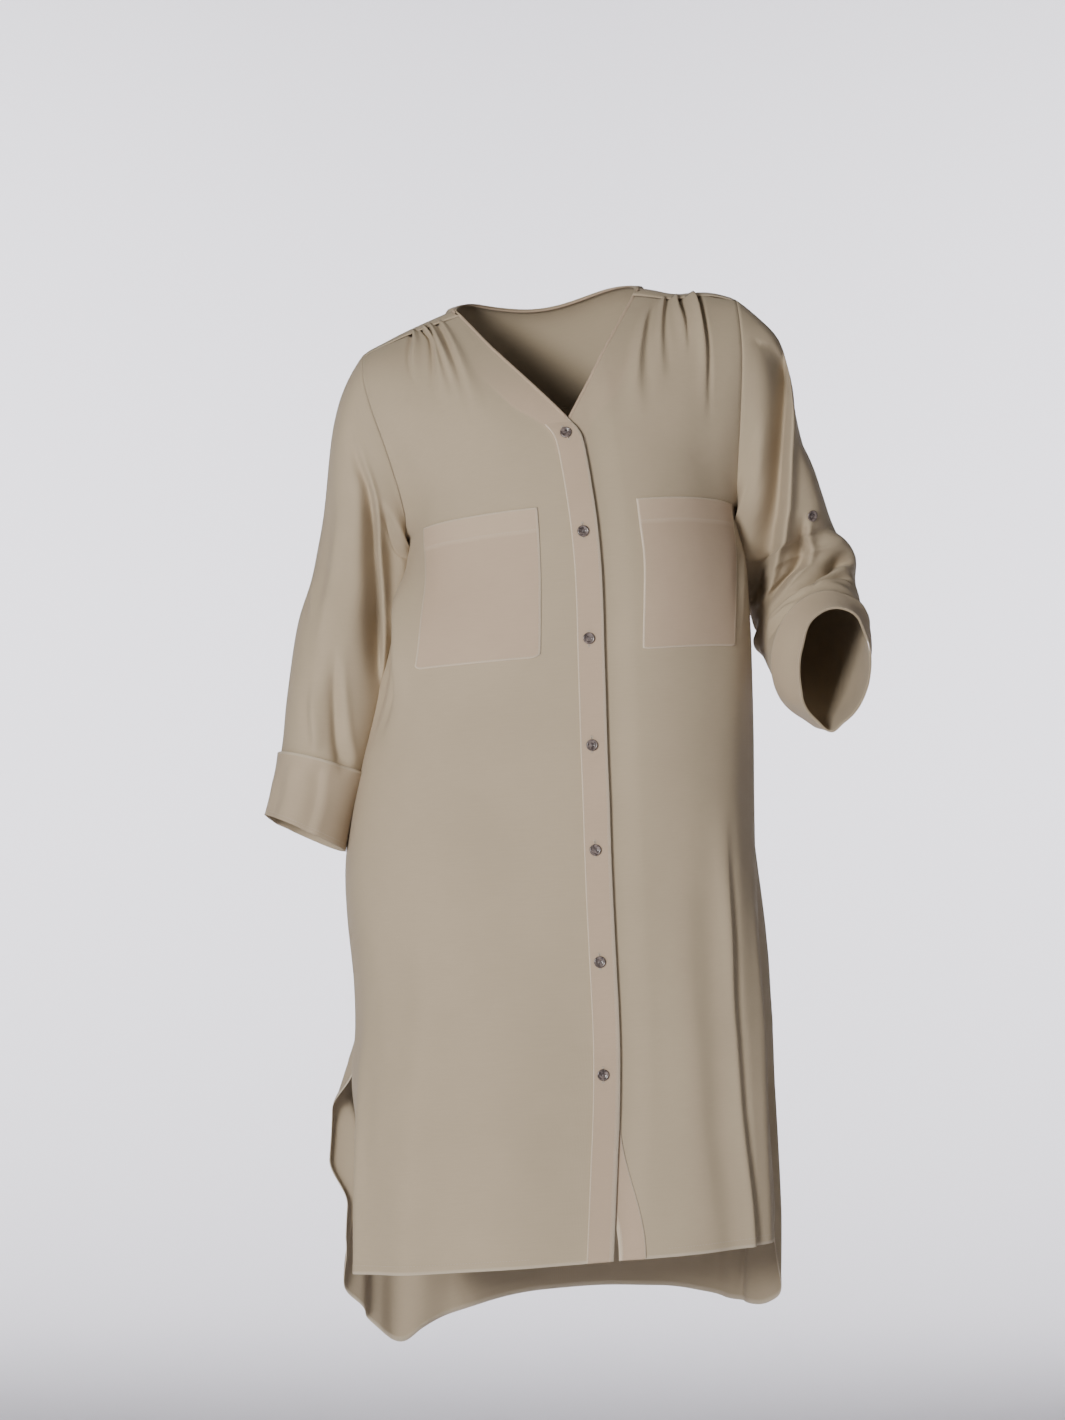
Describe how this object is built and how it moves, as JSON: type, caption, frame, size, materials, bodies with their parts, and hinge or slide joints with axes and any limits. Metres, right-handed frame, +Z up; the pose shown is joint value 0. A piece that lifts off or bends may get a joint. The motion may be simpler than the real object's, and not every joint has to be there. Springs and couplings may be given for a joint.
{
  "type": "button-front tunic",
  "caption": "Long V-neck tunic in soft crepe with a button front, chest pockets, turned-up sleeves and a rounded, longer back hem, shaped as worn.",
  "frame": {"origin": "between the two sides of the neck, at the height where the wearer's shoulders carry the garment", "axes": "+Z up, -Y the front of the garment, +X towards the wearer's left"},
  "size_m": [0.6032, 0.3038, 1.0738],
  "materials": {
    "tunic_cloth": "matte fine crepe with a soft sheen, taupe",
    "doubled_cloth": "the same crepe in two layers, a little lighter and warmer",
    "button_shell": "dark grey-brown polished shell-like resin"
  },
  "bodies": {
    "root": {"front_right": "tunic_cloth", "front_left": "tunic_cloth", "back": "tunic_cloth", "yoke": "tunic_cloth", "sleeve_right": "tunic_cloth", "sleeve_left": "tunic_cloth", "band_right": "doubled_cloth", "band_left": "doubled_cloth", "neck_binding": "doubled_cloth", "pocket_right": "doubled_cloth", "pocket_left": "doubled_cloth", "cuff_right": "doubled_cloth", "cuff_left": "doubled_cloth", "button_1": "button_shell", "button_2": "button_shell", "button_3": "button_shell", "button_4": "button_shell", "button_5": "button_shell", "button_6": "button_shell", "button_7": "button_shell", "tab_button_right": "button_shell", "tab_button_left": "button_shell"}
  },
  "joints": []
}
